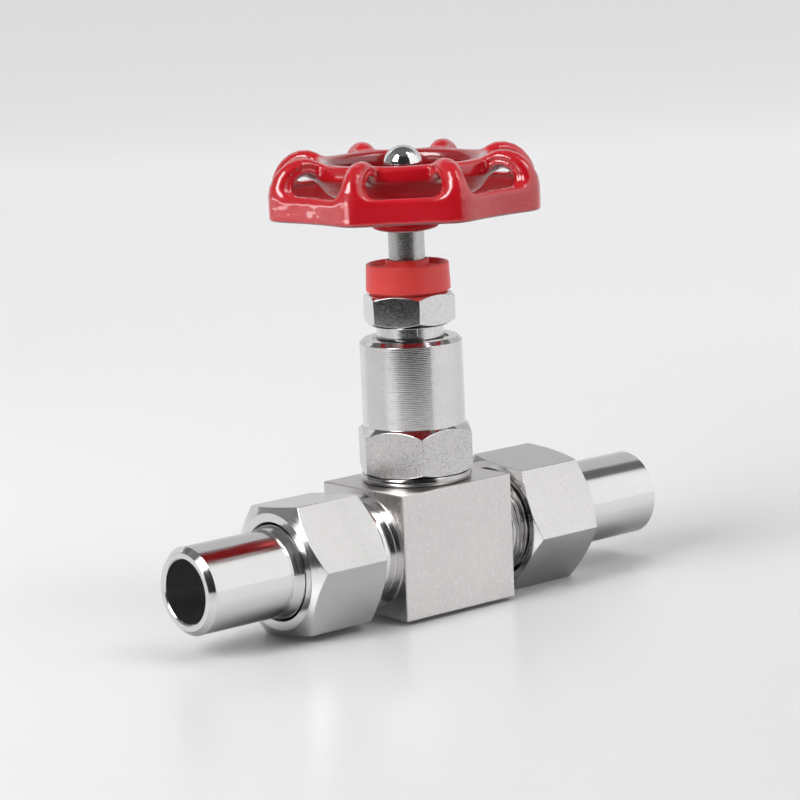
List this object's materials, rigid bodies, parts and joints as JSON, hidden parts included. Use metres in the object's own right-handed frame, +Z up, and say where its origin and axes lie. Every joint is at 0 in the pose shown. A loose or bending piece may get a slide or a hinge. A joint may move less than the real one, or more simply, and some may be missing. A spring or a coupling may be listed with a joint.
{
  "type": "needle valve",
  "caption": "Stainless needle valve: square body with a union weld nipple on each side, hexagon bonnet, packed gland and a red cast handwheel that screws the needle onto its seat.",
  "frame": {"origin": "centre of the body block's flat underside, on the stem axis; the line axis is 16 mm above it", "axes": "+X along the line through both connections, towards the outlet; +Y level, across the line; +Z up the stem"},
  "size_m": [0.149, 0.0684, 0.1177],
  "materials": {
    "body_steel": "satin, finely ground",
    "nut_steel": "satin, slightly speckled",
    "turned_steel": "finely turned, bright",
    "polished_steel": "polished",
    "stem_steel": "ground",
    "red_enamel": "glossy red coating on cast metal",
    "red_plastic": "satin moulded plastic",
    "bright_chrome": "mirror chrome",
    "packing_white": "pressed white packing"
  },
  "bodies": {
    "valve": {"valve_body": "body_steel", "bonnet": "turned_steel", "bonnet_gasket": "polished_steel", "packing_base_ring": "stem_steel", "packing_ring_lower": "packing_white", "packing_ring_middle": "packing_white", "packing_ring_upper": "packing_white"},
    "needle": {"needle_plug": "stem_steel", "needle_retaining_ring": "stem_steel"},
    "spindle": {"stem": "stem_steel", "handwheel": "red_enamel", "handwheel_washer": "bright_chrome", "cap_nut": "bright_chrome"},
    "follower": {"gland_follower": "stem_steel"},
    "gland": {"gland_nut": "polished_steel", "dust_cap": "red_plastic"},
    "left_nipple": {"nipple_left": "turned_steel"},
    "left_union": {"union_nut_left": "nut_steel"},
    "right_nipple": {"nipple_right": "turned_steel"},
    "right_union": {"union_nut_right": "nut_steel"}
  },
  "joints": [
    {"name": "needle_lift", "type": "slide", "parent": "valve", "child": "needle", "axis": [0, 0, 1], "range_m": [-0.003, 0.0045]},
    {"name": "stem_turn", "type": "hinge", "parent": "needle", "child": "spindle", "pos_m": [0, 0, 0.1], "axis": [0, 0, 1], "range_deg": [-720, 1080]},
    {"name": "gland_follower_lift", "type": "slide", "parent": "valve", "child": "follower", "axis": [0, 0, 1], "range_m": [0, 0.00225]},
    {"name": "gland_nut_turn", "type": "hinge", "parent": "follower", "child": "gland", "pos_m": [0, 0, 0.075], "axis": [0, 0, 1], "range_deg": [0, 540]},
    {"name": "nipple_left_draw", "type": "slide", "parent": "valve", "child": "left_nipple", "axis": [-1, 0, 0], "range_m": [0, 0.009]},
    {"name": "union_nut_left_turn", "type": "hinge", "parent": "left_nipple", "child": "left_union", "pos_m": [-0.036, 0, 0.016], "axis": [-1, 0, 0], "range_deg": [0, 2160]},
    {"name": "nipple_right_draw", "type": "slide", "parent": "valve", "child": "right_nipple", "axis": [1, 0, 0], "range_m": [0, 0.009]},
    {"name": "union_nut_right_turn", "type": "hinge", "parent": "right_nipple", "child": "right_union", "pos_m": [0.036, 0, 0.016], "axis": [1, 0, 0], "range_deg": [0, 2160]}
  ],
  "couplings": [
    {"joint": "needle_lift", "follows": "stem_turn", "m_per_rad": 0.00023873},
    {"joint": "gland_nut_turn", "follows": "gland_follower_lift", "rad_per_m": 4188.8},
    {"joint": "union_nut_left_turn", "follows": "nipple_left_draw", "rad_per_m": 4188.8},
    {"joint": "union_nut_right_turn", "follows": "nipple_right_draw", "rad_per_m": 4188.8}
  ]
}
